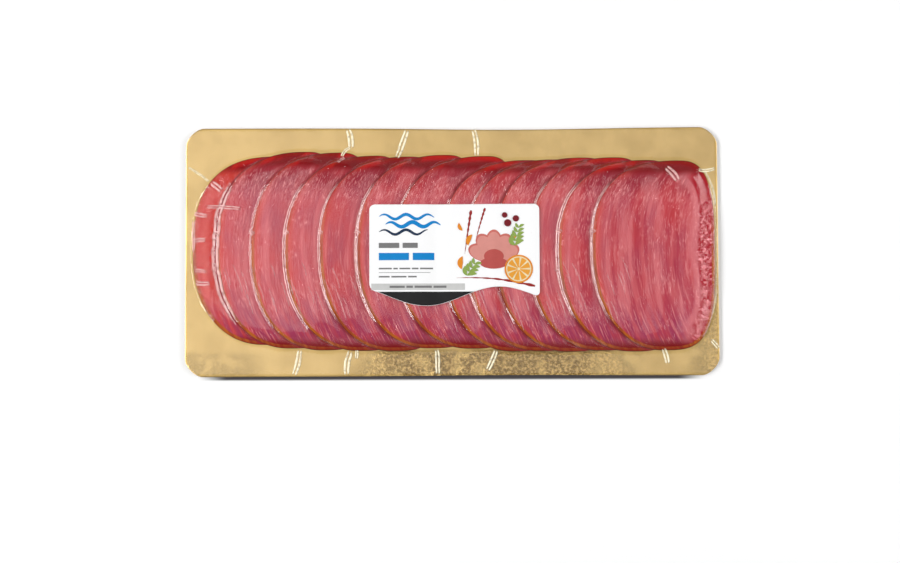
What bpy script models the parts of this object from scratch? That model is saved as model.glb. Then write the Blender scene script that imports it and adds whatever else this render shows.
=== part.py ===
"""A flat vacuum pack of smoked tuna: thin slices fanned out along a gold card
board, sealed under a clear film that carries a paper label.

The board lies on the XY plane with the middle of its underside at the origin.
+X runs along the board, from the first slice to the last one, +Y runs across
it and +Z points up, out of the face of the pack that is looked at.
"""

import math

import bpy
import numpy as np

MM = 0.001

# Board: a rounded rectangle of card.
BOARD_LENGTH = 250 * MM
BOARD_WIDTH = 117 * MM
BOARD_THICKNESS = 1 * MM
BOARD_CORNER = 8 * MM
BOARD_BEVEL = 0.15 * MM

# Slices: every one lies on the one before it, a step further along the board.
FIRST_EDGE = -122.2 * MM
FAN_STEPS = (11.3, 16.2, 16.2, 16.2, 17.2, 18.3, 21.2, 11.3, 13.6, 16.0, 14.1, 16.0)
FAN_Y_START = 0.9 * MM
FAN_Y_END = -1.7 * MM
SLICE_WIDTH = 58.3 * MM
SLICE_THICKNESS = 1.5 * MM
SLICE_GAP = 0.5 * MM
SLICE_RIM = 3.0 * MM
RIM_THICKNESS = 0.45
WAVINESS = 0.008

# A slice's outline, one superellipse for each quarter: from its tip to its
# left edge, its half height and its exponent. The right quarters take the
# rest of the width.
UPPER_TIP = 36.2 * MM
LOWER_TIP = 33.8 * MM
HALF_HEIGHT = 44.3 * MM
EXPONENTS = {"upper left": 2.5, "lower left": 2.1, "upper right": 3.0, "lower right": 3.6}

# Film: one skin over the slices and the board's margin.
FILM_THICKNESS = 0.35 * MM
FILM_GAP = 0.4 * MM
FILM_INSET = 0.3 * MM
FILM_SEAL_SLOPE = 1.2
FILM_SEAL_COLUMN = 0.985

# Label: a rounded sheet on the film whose lower edge is a wave.
LABEL_LEFT = -39.0 * MM
LABEL_RIGHT = 40.2 * MM
LABEL_TOP = 21.4 * MM
LABEL_BOTTOM = -21.6 * MM
LABEL_WAVE = 4.4 * MM
LABEL_WAVELENGTH = 68.6 * MM
LABEL_CREST = 22.1 * MM
LABEL_CORNER = 2.6 * MM
LABEL_THICKNESS = 0.2 * MM
LABEL_GAP = 0.4 * MM

# The height fields are worked out on a square grid and read between its points.
GRID_STEP = 1 * MM
BEND_RADIUS = 12 * MM
FILM_RADIUS = 5 * MM
LABEL_RADIUS = 8 * MM

# How finely the solids are faceted.
SLICE_SIDES = 36
SLICE_RINGS = (0.3, 0.55, 0.75, 0.9, 1.0)
CORNER_STEPS = 4
FILM_COLUMNS = 42
FILM_ROWS = 14
LABEL_COLUMNS = 12
LABEL_ROWS = 8

GOLD = (0.72, 0.50, 0.22)
TUNA = (0.55, 0.13, 0.13)
CLEAR = (0.95, 0.95, 0.95)
PAPER = (0.93, 0.93, 0.93)

SLICE_PITCH = SLICE_THICKNESS + SLICE_GAP
SLICE_COUNT = len(FAN_STEPS) + 1
SLICE_EDGES = FIRST_EDGE + MM * np.concatenate([[0], np.cumsum(FAN_STEPS)])
SLICE_CENTRES_Y = np.linspace(FAN_Y_START, FAN_Y_END, SLICE_COUNT)

GRID_X = np.arange(-BOARD_LENGTH / 2, BOARD_LENGTH / 2 + GRID_STEP / 2, GRID_STEP)
GRID_Y = np.arange(-BOARD_WIDTH / 2, BOARD_WIDTH / 2 + GRID_STEP / 2, GRID_STEP)
MESH_X, MESH_Y = np.meshgrid(GRID_X, GRID_Y)


def clear_scene():
    for old in list(bpy.data.objects):
        bpy.data.objects.remove(old, do_unlink=True)


def material(name, colour, roughness, metallic=0.0, alpha=1.0):
    """A plain Principled material."""
    made = bpy.data.materials.new(name)
    made.use_nodes = True
    shader = made.node_tree.nodes["Principled BSDF"]
    shader.inputs["Base Color"].default_value = (*colour, 1)
    shader.inputs["Roughness"].default_value = roughness
    shader.inputs["Metallic"].default_value = metallic
    shader.inputs["Alpha"].default_value = alpha
    return made


def add_object(name, verts, faces, finish):
    """A mesh object at the origin, its shape in its mesh."""
    mesh = bpy.data.meshes.new(name)
    mesh.from_pydata([tuple(v) for v in verts], [], faces)
    mesh.materials.append(finish)
    mesh.shade_smooth()
    mesh.set_sharp_from_angle(angle=math.radians(35))
    made = bpy.data.objects.new(name, mesh)
    bpy.context.scene.collection.objects.link(made)
    return made


# --- Height fields -----------------------------------------------------------


def spread(field, radius, pick):
    """The lowest or highest value within a radius of every grid point."""
    reach = int(radius / GRID_STEP)
    rows, columns = field.shape
    padded = np.pad(field, reach, mode="edge")
    result = field.copy()
    for down in range(-reach, reach + 1):
        half = int(math.sqrt(reach**2 - down**2))
        for across in range(-half, half + 1):
            top = reach + down
            left = reach + across
            result = pick(result, padded[top : top + rows, left : left + columns])
    return result


def blur(field, radius):
    """A weighted mean over the square that fits inside the radius."""
    reach = int(radius / GRID_STEP / math.sqrt(2))
    offsets = np.arange(-reach, reach + 1)
    weights = np.cos(offsets / (reach + 1) * math.pi / 2) ** 2
    weights = weights / weights.sum()
    padded = np.pad(field, reach, mode="edge")
    rows, columns = field.shape
    down = sum(w * padded[i : i + rows, :] for i, w in enumerate(weights))
    return sum(w * down[:, i : i + columns] for i, w in enumerate(weights))


def read_field(field, x, y):
    """The field between its grid points, by bilinear interpolation."""
    column = np.clip((x - GRID_X[0]) / GRID_STEP, 0, len(GRID_X) - 1.001)
    row = np.clip((y - GRID_Y[0]) / GRID_STEP, 0, len(GRID_Y) - 1.001)
    i = row.astype(int)
    j = column.astype(int)
    v = row - i
    u = column - j
    near = field[i, j] * (1 - u) + field[i, j + 1] * u
    far = field[i + 1, j] * (1 - u) + field[i + 1, j + 1] * u
    return near * (1 - v) + far * v


# --- Slices ------------------------------------------------------------------


def slice_outline(index, angle):
    """Points on a slice's outline, each quarter a superellipse: the distance
    along an axis is its half size times |cos| or |sin| to the power 2 / n."""
    cosine = np.cos(angle)
    sine = np.sin(angle)
    upper = sine >= 0
    left = cosine < 0
    tip = np.where(upper, UPPER_TIP, LOWER_TIP)
    half_width = np.where(left, tip, SLICE_WIDTH - tip)
    exponent = np.where(
        upper,
        np.where(left, EXPONENTS["upper left"], EXPONENTS["upper right"]),
        np.where(left, EXPONENTS["lower left"], EXPONENTS["lower right"]),
    )
    wave = 1 - WAVINESS * (1 + np.sin(3 * angle + 2.4 * index))
    x = tip + wave * half_width * np.sign(cosine) * np.abs(cosine) ** (2 / exponent)
    y = wave * HALF_HEIGHT * np.sign(sine) * np.abs(sine) ** (2 / exponent)
    return SLICE_EDGES[index] + x, SLICE_CENTRES_Y[index] + y


def slice_middle(index):
    return SLICE_EDGES[index] + SLICE_WIDTH / 2, SLICE_CENTRES_Y[index]


def rim_distance(index, x, y):
    """How far a point lies inside a slice's outline, towards its middle, as a
    share of the outline's radius there: 1 at the middle, 0 on the outline."""
    angles = np.linspace(-math.pi, math.pi, 721)
    outline_x, outline_y = slice_outline(index, angles)
    middle_x, middle_y = slice_middle(index)
    bearing = np.unwrap(np.arctan2(outline_y - middle_y, outline_x - middle_x))
    radius = np.hypot(outline_x - middle_x, outline_y - middle_y)
    at = np.arctan2(y - middle_y, x - middle_x)
    reach = np.interp(at, bearing, radius, period=2 * math.pi)
    return 1 - np.hypot(x - middle_x, y - middle_y) / reach


def lowest_slice_field():
    """Number of the slice that lies lowest at each point, 0 for the first one,
    lowered and smoothed so that the slices on top bend gently over its end."""
    lowest = np.full(MESH_X.shape, float(SLICE_COUNT - 1))
    for index in reversed(range(SLICE_COUNT)):
        inside = rim_distance(index, MESH_X, MESH_Y) > -0.02
        lowest[inside] = index
    return blur(spread(lowest, BEND_RADIUS, np.minimum), BEND_RADIUS)


LOWEST = lowest_slice_field()


def slice_underside(index, x, y):
    """Every slice is a step above the last one, counted from the lowest."""
    bottom = BOARD_THICKNESS + SLICE_GAP
    return bottom + SLICE_PITCH * (index - read_field(LOWEST, x, y))


def slice_depth(inset):
    """Thickness by the distance from the outline: a rounded, thinner rim."""
    rise = np.clip(inset / SLICE_RIM, 0, 1)
    return SLICE_THICKNESS * (RIM_THICKNESS + (1 - RIM_THICKNESS) * np.sin(rise * math.pi / 2))


def make_slice(index, finish):
    """Rings of points from the middle to the outline, above and below."""
    angles = np.arange(SLICE_SIDES) * 2 * math.pi / SLICE_SIDES
    outline_x, outline_y = slice_outline(index, angles)
    middle_x, middle_y = slice_middle(index)
    scales = np.array((0.0, *SLICE_RINGS))[:, None]
    x = middle_x + scales * (outline_x - middle_x)
    y = middle_y + scales * (outline_y - middle_y)
    radius = np.hypot(outline_x - middle_x, outline_y - middle_y)
    under = slice_underside(index, x, y)
    over = under + slice_depth((1 - scales) * radius)

    def flat(z):
        points = np.stack([x, y, z], axis=-1)
        return np.concatenate([points[0, :1], points[1:].reshape(-1, 3)])

    verts = np.concatenate([flat(over), flat(under)])
    below = len(verts) // 2
    faces = []
    for side in range(SLICE_SIDES):
        after = (side + 1) % SLICE_SIDES
        faces.append((0, 1 + side, 1 + after))
        faces.append((below, below + 1 + after, below + 1 + side))
        for ring in range(len(SLICE_RINGS) - 1):
            inner = 1 + ring * SLICE_SIDES
            outer = inner + SLICE_SIDES
            faces.append((inner + side, outer + side, outer + after, inner + after))
            faces.append((below + inner + after, below + outer + after,
                          below + outer + side, below + inner + side))
        rim = 1 + (len(SLICE_RINGS) - 1) * SLICE_SIDES
        faces.append((rim + side, below + rim + side, below + rim + after, rim + after))
    return add_object(f"slice_{index + 1:02d}", verts, faces, finish)


# --- Film and label ----------------------------------------------------------


def contents_top_field():
    """Height of what lies uppermost: the board, or the slices on it."""
    top = np.full(MESH_X.shape, BOARD_THICKNESS)
    for index in range(SLICE_COUNT):
        inside = rim_distance(index, MESH_X, MESH_Y) > -0.02
        over = slice_underside(index, MESH_X, MESH_Y) + SLICE_THICKNESS
        top = np.where(inside, np.maximum(top, over), top)
    return top


def sheet(name, x, y, under, thickness, finish):
    """A closed sheet between a grid of points and the same grid raised."""
    rows, columns = x.shape
    low = np.stack([x, y, under], axis=-1).reshape(-1, 3)
    high = low + (0, 0, thickness)
    count = len(low)
    faces = []
    for row in range(rows - 1):
        for column in range(columns - 1):
            a = row * columns + column
            quad = (a, a + 1, a + columns + 1, a + columns)
            faces.append(tuple(count + i for i in quad))
            faces.append(tuple(reversed(quad)))
    border = [column for column in range(columns)]
    border += [row * columns + columns - 1 for row in range(1, rows)]
    border += [(rows - 1) * columns + column for column in reversed(range(columns - 1))]
    border += [row * columns for row in reversed(range(1, rows - 1))]
    for here, after in zip(border, border[1:] + border[:1]):
        faces.append((here, after, count + after, count + here))
    return add_object(name, np.concatenate([low, high]), faces, finish)


def rounded_rows(half_height, corner, inner_rows):
    """Rows across a rounded rectangle: its corners' arcs, then even ones."""
    turn = np.linspace(0, math.pi / 2, CORNER_STEPS)
    arc = half_height - corner + corner * np.sin(turn)
    inner = np.linspace(-arc[0], arc[0], inner_rows)
    return np.concatenate([-arc[:0:-1], inner, arc[1:]])


def corner_cut(y, half_height, corner):
    """How much a rounded corner takes off a row's end."""
    into = np.clip(np.abs(y) - (half_height - corner), 0, corner)
    return corner - np.sqrt(corner**2 - into**2)


def make_board(finish):
    """The rounded rectangle as one outline, with a small bevel."""
    outline = []
    turns = np.linspace(0, math.pi / 2, CORNER_STEPS + 2)
    for quarter, (sx, sy) in enumerate(((1, 1), (-1, 1), (-1, -1), (1, -1))):
        centre_x = sx * (BOARD_LENGTH / 2 - BOARD_CORNER)
        centre_y = sy * (BOARD_WIDTH / 2 - BOARD_CORNER)
        for turn in turns + quarter * math.pi / 2:
            outline.append((centre_x, centre_y, math.cos(turn), math.sin(turn)))
    centre_x, centre_y, out_x, out_y = np.array(outline).T
    levels = (
        (0.0, BOARD_BEVEL),
        (BOARD_BEVEL, 0.0),
        (BOARD_THICKNESS - BOARD_BEVEL, 0.0),
        (BOARD_THICKNESS, BOARD_BEVEL),
    )
    rings = []
    for height, inset in levels:
        radius = BOARD_CORNER - inset
        ring = np.stack([centre_x + radius * out_x, centre_y + radius * out_y], axis=-1)
        rings.append(np.column_stack([ring, np.full(len(ring), height)]))
    verts = np.concatenate(rings)
    count = len(outline)
    faces = [tuple(reversed(range(count))), tuple(range(3 * count, 4 * count))]
    for level in range(len(levels) - 1):
        for side in range(count):
            after = (side + 1) % count
            low = level * count
            high = low + count
            faces.append((low + side, low + after, high + after, high + side))
    return add_object("board", verts, faces, finish)


def make_film(contents, finish):
    """The highest contents nearby, smoothed, as stretched film bridges them,
    and brought down to the board along a slope at its sealed edge."""
    half_length = BOARD_LENGTH / 2 - FILM_INSET
    half_width = BOARD_WIDTH / 2 - FILM_INSET
    edge = np.minimum(half_length - np.abs(MESH_X), half_width - np.abs(MESH_Y))
    seal = BOARD_THICKNESS + FILM_SEAL_SLOPE * np.maximum(edge, 0)
    field = blur(spread(contents, FILM_RADIUS, np.maximum), FILM_RADIUS)
    field = np.minimum(field, seal)
    rows = rounded_rows(half_width, BOARD_CORNER, FILM_ROWS)[:, None]
    across = np.linspace(-1, 1, FILM_COLUMNS + 1)
    across = np.union1d(across, (-FILM_SEAL_COLUMN, FILM_SEAL_COLUMN))[None, :]
    y = rows + 0 * across
    x = across * (half_length - corner_cut(rows, half_width, BOARD_CORNER))
    under = read_field(field, x, y) + FILM_GAP
    sheet("film", x, y, under, FILM_THICKNESS, finish)
    return field + FILM_GAP + FILM_THICKNESS


def make_label(film_top, finish):
    """Columns from the lower edge, a cosine wave, to the straight upper one,
    with rounded corners, and the whole sheet bent to the film."""
    field = blur(spread(film_top, LABEL_RADIUS, np.maximum), LABEL_RADIUS)
    half_length = (LABEL_RIGHT - LABEL_LEFT) / 2
    columns = rounded_rows(half_length, LABEL_CORNER, LABEL_COLUMNS)[None, :]
    cut = corner_cut(columns, half_length, LABEL_CORNER)
    up = np.linspace(0, 1, LABEL_ROWS + 1)[:, None]
    x = LABEL_LEFT + half_length + columns + 0 * up
    wave = np.cos(2 * math.pi * (x - LABEL_CREST) / LABEL_WAVELENGTH)
    bottom = LABEL_BOTTOM + LABEL_WAVE * wave + cut
    y = bottom + up * (LABEL_TOP - cut - bottom)
    sheet("label", x, y, read_field(field, x, y) + LABEL_GAP, LABEL_THICKNESS, finish)


def main():
    clear_scene()
    gold = material("gold", GOLD, 0.35, metallic=0.8)
    tuna = material("tuna", TUNA, 0.35)
    clear = material("film", CLEAR, 0.1, alpha=0.2)
    paper = material("paper", PAPER, 0.4)
    make_board(gold)
    for index in range(SLICE_COUNT):
        make_slice(index, tuna)
    film_top = make_film(contents_top_field(), clear)
    make_label(film_top, paper)
    triangles = sum(
        len(polygon.vertices) - 2
        for made in bpy.context.scene.objects
        for polygon in made.data.polygons
    )
    print(f"{len(bpy.context.scene.objects)} pieces, {triangles} triangles")


main()
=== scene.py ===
# %% [markdown]
# # A vacuum pack of smoked tuna
#
# The real thing is four materials in a stack: a card board with gold foil on it,
# thin slices of fish fanned out along it, a clear film drawn tight over both by
# vacuum, and a paper label stuck on the film. This lesson builds them in that order.
#
# All four can be described the same way, as a height above the table for every
# point of the board. So the shapes here are height fields: arrays worked out with
# numpy on a square grid, smoothed as soft fish and tight film are, and then read
# at the points of each mesh.

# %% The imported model
import math
from types import SimpleNamespace

import bpy
import numpy as np
from mathutils import Matrix, Vector


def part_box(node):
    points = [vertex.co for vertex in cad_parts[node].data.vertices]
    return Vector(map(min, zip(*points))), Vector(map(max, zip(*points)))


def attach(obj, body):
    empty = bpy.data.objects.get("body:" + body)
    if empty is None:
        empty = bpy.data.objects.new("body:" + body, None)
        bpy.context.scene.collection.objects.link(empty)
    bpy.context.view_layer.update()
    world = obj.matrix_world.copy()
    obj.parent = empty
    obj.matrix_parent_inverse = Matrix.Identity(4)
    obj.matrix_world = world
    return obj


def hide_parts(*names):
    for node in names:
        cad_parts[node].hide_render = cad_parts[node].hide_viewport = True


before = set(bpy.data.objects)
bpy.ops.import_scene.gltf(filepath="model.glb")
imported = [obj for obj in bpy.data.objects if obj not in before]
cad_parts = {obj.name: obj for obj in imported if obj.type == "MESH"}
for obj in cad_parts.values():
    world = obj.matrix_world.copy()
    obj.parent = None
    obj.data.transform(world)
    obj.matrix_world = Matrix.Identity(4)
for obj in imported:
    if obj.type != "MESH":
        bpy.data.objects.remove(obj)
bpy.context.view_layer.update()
MM = 0.001
SLICE_NODES = sorted(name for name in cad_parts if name.startswith("slice_"))

# %% [markdown]
# ## Camera
#
# The pack lies flat and is looked at from almost straight above, with the near
# long edge a little closer. A long lens far away keeps its outline nearly square.
# The aim is worked out from the picture: the pack's middle stands at a known
# pixel, so the lens points at the spot of the table that is in the frame's middle.

# %% Camera
FRAME_WIDTH = 900
FRAME_HEIGHT = 563
PACK_PIXEL = (452.0, 251.5)
MM_PER_PIXEL = 0.4695
CAMERA_DISTANCE = 0.9
CAMERA_TILT = math.radians(4.0)
CAMERA_ROLL = math.radians(-0.22)
SENSOR = 36.0


def make_camera():
    """The lens that shows FRAME_WIDTH pixels of MM_PER_PIXEL at the distance."""
    aim_x = (FRAME_WIDTH / 2 - PACK_PIXEL[0]) * MM_PER_PIXEL * MM
    aim_y = (PACK_PIXEL[1] - FRAME_HEIGHT / 2) * MM_PER_PIXEL * MM
    lens = bpy.data.cameras.new("camera")
    lens.sensor_width = SENSOR
    lens.lens = SENSOR * CAMERA_DISTANCE / (FRAME_WIDTH * MM_PER_PIXEL * MM)
    lens.clip_start = 0.01
    camera = bpy.data.objects.new("camera", lens)
    bpy.context.scene.collection.objects.link(camera)
    back = Matrix.Rotation(CAMERA_TILT, 4, "X") @ Matrix.Rotation(CAMERA_ROLL, 4, "Z")
    aim = Vector((aim_x, aim_y, 0.0))
    camera.matrix_world = Matrix.Translation(aim) @ back @ Matrix.Translation((0, 0, CAMERA_DISTANCE))
    bpy.context.scene.camera = camera
    return camera


camera = make_camera()
print("lens", round(camera.data.lens, 1), "mm at", [round(v, 3) for v in camera.location])

# %% [markdown]
# ## Helpers for meshes
#
# Every piece is a grid of points joined by faces. A grid is one array operation,
# so a piece with eighty thousand points is made in an instant. `foreach_set`
# hands the finished arrays to Blender without a Python loop.

# %% Mesh helpers


def grid_faces(rows, columns):
    """Four-cornered faces between the points of a grid, row after row."""
    corner = (np.arange(rows - 1)[:, None] * columns + np.arange(columns - 1)).ravel()
    return np.stack([corner, corner + 1, corner + columns + 1, corner + columns], axis=1)


def ring_faces(rings, sides):
    """As grid_faces, but the last column joins the first one."""
    ring = np.arange(rings - 1)[:, None] * sides
    here = np.arange(sides)[None, :]
    after = (here + 1) % sides
    faces = [ring + here, ring + after, ring + sides + after, ring + sides + here]
    return np.stack([f.ravel() for f in faces], axis=1)


def belt(first, second):
    """Faces between two closed rings, given as arrays of point numbers."""
    return np.stack([first, second, np.roll(second, -1), np.roll(first, -1)], axis=1)


def make_piece(name, points, face_groups, finish, stands_for=()):
    """A mesh object from points and arrays of faces, riding on the pack."""
    mesh = bpy.data.meshes.new(name)
    sizes = np.concatenate([np.full(len(f), f.shape[1]) for f in face_groups])
    corners = np.concatenate([f.ravel() for f in face_groups]).astype(np.int32)
    mesh.vertices.add(len(points))
    mesh.vertices.foreach_set("co", np.asarray(points, np.float32).ravel())
    mesh.loops.add(len(corners))
    mesh.loops.foreach_set("vertex_index", corners)
    mesh.polygons.add(len(sizes))
    starts = np.concatenate([[0], np.cumsum(sizes)[:-1]])
    mesh.polygons.foreach_set("loop_start", starts.astype(np.int32))
    mesh.update(calc_edges=True)
    mesh.validate()
    mesh.shade_smooth()
    mesh.materials.append(finish)
    piece = bpy.data.objects.new(name, mesh)
    bpy.context.scene.collection.objects.link(piece)
    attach(piece, "root")
    if stands_for:
        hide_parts(*stands_for)
    print(name, int((sizes - 2).sum()), "triangles")
    return piece


def add_number(piece, name, values):
    """A number for each point, which a material can read by its name."""
    layer = piece.data.attributes.new(name, "FLOAT", "POINT")
    layer.data.foreach_set("value", np.asarray(values, np.float32).ravel())


def add_uv(piece, name, u, v):
    """Flat coordinates for each point, for a pattern that follows the piece."""
    corners = np.empty(len(piece.data.loops), np.int32)
    piece.data.loops.foreach_get("vertex_index", corners)
    places = np.stack([u.ravel(), v.ravel()], axis=1)[corners]
    layer = piece.data.uv_layers.new(name=name)
    layer.uv.foreach_set("vector", places.astype(np.float32).ravel())


def join_grids(grids):
    """Points and faces of several grids, numbered on as one mesh."""
    faces = []
    total = 0
    for grid in grids:
        rows, columns = grid.shape[:2]
        faces.append(grid_faces(rows, columns) + total)
        total += rows * columns
    return np.concatenate([grid.reshape(-1, 3) for grid in grids]), faces


print("a grid of 3 by 4 points has", len(grid_faces(3, 4)), "faces")

# %% [markdown]
# ## Helpers for height fields
#
# `spread` lifts or lowers a field to its highest or lowest value nearby, and
# `blur` smooths it over the same distance. Together they turn a staircase into
# the gentlest slope that never cuts through it: that is how film bridges a step,
# and how a slice bends over the end of the one beneath.
# `value_noise` is the one source of unevenness: random numbers on a coarse
# lattice with smooth steps between them, always from a stated seed.

# %% Field helpers
STEP = 0.4 * MM
board_low, board_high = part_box("board")
BOARD_LENGTH = board_high[0] - board_low[0]
BOARD_WIDTH = board_high[1] - board_low[1]
BOARD_TOP = board_high[2]
GRID_X = np.arange(-BOARD_LENGTH / 2, BOARD_LENGTH / 2 + STEP / 2, STEP)
GRID_Y = np.arange(-BOARD_WIDTH / 2, BOARD_WIDTH / 2 + STEP / 2, STEP)
MESH_X, MESH_Y = np.meshgrid(GRID_X, GRID_Y)


def spread(field, radius, pick):
    """The highest (np.maximum) or lowest (np.minimum) value within a radius."""
    reach = int(round(radius / STEP))
    rows, columns = field.shape
    padded = np.pad(field, reach, mode="edge")
    result = field.copy()
    for down in range(-reach, reach + 1):
        half = int(math.sqrt(reach**2 - down**2))
        for across in range(-half, half + 1):
            window = padded[reach + down : reach + down + rows, reach + across : reach + across + columns]
            result = pick(result, window)
    return result


def blur(field, radius):
    """A mean over a square of the radius, weighted by a squared cosine."""
    reach = max(1, int(round(radius / STEP)))
    offsets = np.arange(-reach, reach + 1)
    weights = np.cos(offsets / (reach + 1) * math.pi / 2) ** 2
    weights = weights / weights.sum()
    padded = np.pad(field, reach, mode="edge")
    rows, columns = field.shape
    down = sum(w * padded[i : i + rows, :] for i, w in enumerate(weights))
    return sum(w * down[:, i : i + columns] for i, w in enumerate(weights))


def read_field(field, x, y):
    """The field between its grid points: a mean of the four around each place."""
    column = np.clip((x - GRID_X[0]) / STEP, 0, len(GRID_X) - 1.001)
    row = np.clip((y - GRID_Y[0]) / STEP, 0, len(GRID_Y) - 1.001)
    i = row.astype(int)
    j = column.astype(int)
    v = row - i
    u = column - j
    near = field[i, j] * (1 - u) + field[i, j + 1] * u
    far = field[i + 1, j] * (1 - u) + field[i + 1, j + 1] * u
    return near * (1 - v) + far * v


def ramp(value, start, end):
    """0 before start, 1 after end, and 3 t^2 - 2 t^3 between them."""
    t = np.clip((value - start) / (end - start), 0, 1)
    return t * t * (3 - 2 * t)


def value_noise(x, y, cell_x, cell_y, seed):
    """Random heights from -1 to 1 on a lattice of cells, smoothly joined. The
    lattice repeats after 128 cells, and 1000 cells keep the count positive."""
    heights = np.random.default_rng(seed).uniform(-1, 1, (128, 128))
    across = x / cell_x + 1000
    up = y / cell_y + 1000
    j = np.floor(across).astype(int)
    i = np.floor(up).astype(int)
    u = ramp(across - j, 0, 1)
    v = ramp(up - i, 0, 1)
    near = heights[i % 128, j % 128] * (1 - u) + heights[i % 128, (j + 1) % 128] * u
    far = heights[(i + 1) % 128, j % 128] * (1 - u) + heights[(i + 1) % 128, (j + 1) % 128] * u
    return near * (1 - v) + far * v


print("height grid", MESH_X.shape)

# %% [markdown]
# ## Helpers for finishes
#
# A finish is a node material. `Finish` keeps the node tree at hand and has a
# short way to add each common node, so that a recipe reads as a list of steps.
# Given the tree of a world, it serves for the room's light too.

# %% Finish helper


class Finish:
    """A new material, or a tree that exists, with short ways to add nodes."""

    def __init__(self, name, tree=None):
        if tree is None:
            self.material = bpy.data.materials.new(name)
            self.material.use_nodes = True
            tree = self.material.node_tree
            self.shader = tree.nodes["Principled BSDF"]
            self.output = tree.nodes["Material Output"]
        self.tree = tree

    def add(self, kind, inputs=(), **settings):
        """A node, its settings, and a value or a link for each named input."""
        made = self.tree.nodes.new("ShaderNode" + kind)
        for name, value in settings.items():
            setattr(made, name, value)
        for name, value in dict(inputs).items():
            self.feed(made.inputs[name], value)
        return made

    def feed(self, socket, value):
        """A link where the value is another node's socket, or else a setting."""
        if isinstance(value, bpy.types.NodeSocket):
            self.tree.links.new(value, socket)
        elif isinstance(value, tuple) and len(value) == 3 and socket.type == "RGBA":
            socket.default_value = (*value, 1)
        else:
            socket.default_value = value

    def calc(self, operation, first, second=0.0, third=0.0):
        """Arithmetic on two or three values."""
        return self.add("Math", {0: first, 1: second, 2: third}, operation=operation).outputs[0]

    def times(self, first, *others):
        """The product of several values."""
        for other in others:
            first = self.calc("MULTIPLY", first, other)
        return first

    def larger(self, first, second):
        """The larger of two values."""
        return self.calc("MAXIMUM", first, second)

    def away(self, value, middle=0.0):
        """How far a value is from a middle, on either side."""
        return self.calc("ABSOLUTE", self.calc("SUBTRACT", value, middle))

    def number(self, name):
        """A number that add_number gave each point of the piece."""
        return self.add("Attribute", attribute_name=name).outputs["Fac"]

    def mix(self, share, first, second):
        """One colour turning into another by a share from 0 to 1."""
        made = self.add("Mix", data_type="RGBA")
        self.feed(made.inputs[0], share)
        self.feed(made.inputs[6], first)
        self.feed(made.inputs[7], second)
        return made.outputs[2]

    def between(self, value, start, end, low=0.0, high=1.0):
        """A value carried from one range to another, with soft ends."""
        inputs = {0: value, 1: start, 2: end, 3: low, 4: high}
        return self.add("MapRange", inputs, interpolation_type="SMOOTHSTEP").outputs[0]

    def noise(self, where, scale, detail=2.0, roughness=0.5):
        """Soft random values from 0 to 1, most of them near 0.5."""
        inputs = {"Vector": where, "Scale": scale, "Detail": detail, "Roughness": roughness}
        return self.add("TexNoise", inputs).outputs[0]

    def grain(self, where, size, detail=2.0, roughness=0.5, turn=0.0):
        """Noise that is drawn out: size is its scale along each axis."""
        inputs = {"Vector": where, "Scale": size, "Rotation": (0, 0, turn)}
        return self.noise(self.add("Mapping", inputs).outputs[0], 1.0, detail, roughness)

    def place(self):
        """Object coordinates, in metres."""
        return self.add("TexCoord").outputs["Object"]

    def bump(self, height, strength, distance, normal=None):
        """Relief that only the light sees, on top of an earlier one if given."""
        inputs = {"Height": height, "Strength": strength, "Distance": distance}
        if normal is not None:
            inputs["Normal"] = normal
        return self.add("Bump", inputs).outputs[0]

    def set(self, **inputs):
        """Values or links for the shader, with _ for a space in a name."""
        for name, value in inputs.items():
            self.feed(self.shader.inputs[name.replace("_", " ")], value)


# %% [markdown]
# ## Gold board
#
# The board is solid card with thin gold foil pressed on both faces and a bare
# grey-brown cut edge. It could be a box with a bevel, but foil is never quite
# flat, and its reflections show it. So the top is a grid of points with low,
# slow waves, closed by rings of points round the edge and a flat underside.

# %% Board shape
CORNER = 8 * MM
CORNER_STEPS = 12
CORNER_POWER = 1.6
UPPER_PULL = 1.0 * MM
LOWER_PULL = 0.4 * MM
PULL_MIDDLE = 28 * MM
PULL_REACH = 55 * MM
TOP_INSET = 0.6 * MM
FOIL_WAVES = 0.05 * MM
FOIL_ROUGHNESS = 0.035 * MM
ROUGH_MIDDLE = 30 * MM
# Inset and drop of each ring round the edge, in millimetres, from the top face
# down. The cut edge of the card shows from the second ring to the fourth.
EDGE_PROFILE = ((0.12, -0.03), (0.02, -0.15), (0.0, -0.50), (0.0, -0.85), (0.15, -1.0))
CUT_FROM = 2
CUT_TO = 4


def crowded_places(half, corner, count, steps, power=1.0):
    """Places from -half to half: even ones in the middle, and in each corner's
    stretch a number of steps that follow the sine of a turning angle."""
    turn = np.linspace(0, math.pi / 2, steps + 1)
    arc = half - corner + corner * np.sin(turn) ** power
    middle = np.linspace(-arc[0], arc[0], count - 2 * steps)
    return np.concatenate([-arc[:0:-1], middle, arc[1:]])


def rounded_grid(inset, rows, columns):
    """Rows across a rectangle whose corners are cut: a corner's outline is
    u^n + v^n = 1 with n less than 2, between a straight cut and a circle.
    The film pulls both long edges in a little, by a bell curve along them."""
    half_x = BOARD_LENGTH / 2 - inset
    half_y = BOARD_WIDTH / 2 - inset
    size = CORNER - inset
    y = crowded_places(half_y, size, rows, CORNER_STEPS, 2 / CORNER_POWER)[:, None]
    into = np.clip(np.abs(y) - (half_y - size), 0, size) / size
    reach = half_x - size * (1 - np.maximum(1 - into**CORNER_POWER, 0) ** (1 / CORNER_POWER))
    x = np.linspace(-1, 1, columns)[None, :] * reach
    pull = np.where(y > 0, UPPER_PULL, -LOWER_PULL) * np.exp(-(((x - PULL_MIDDLE) / PULL_REACH) ** 2))
    return x, y - pull * ramp(np.abs(y), 0.5 * half_y, half_y)


def border(rows, columns):
    """Point numbers round the outside of a grid, against the clock."""
    index = np.arange(rows * columns).reshape(rows, columns)
    return np.concatenate([index[0], index[1:, -1], index[-1, -2::-1], index[-2:0:-1, 0]])


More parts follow.
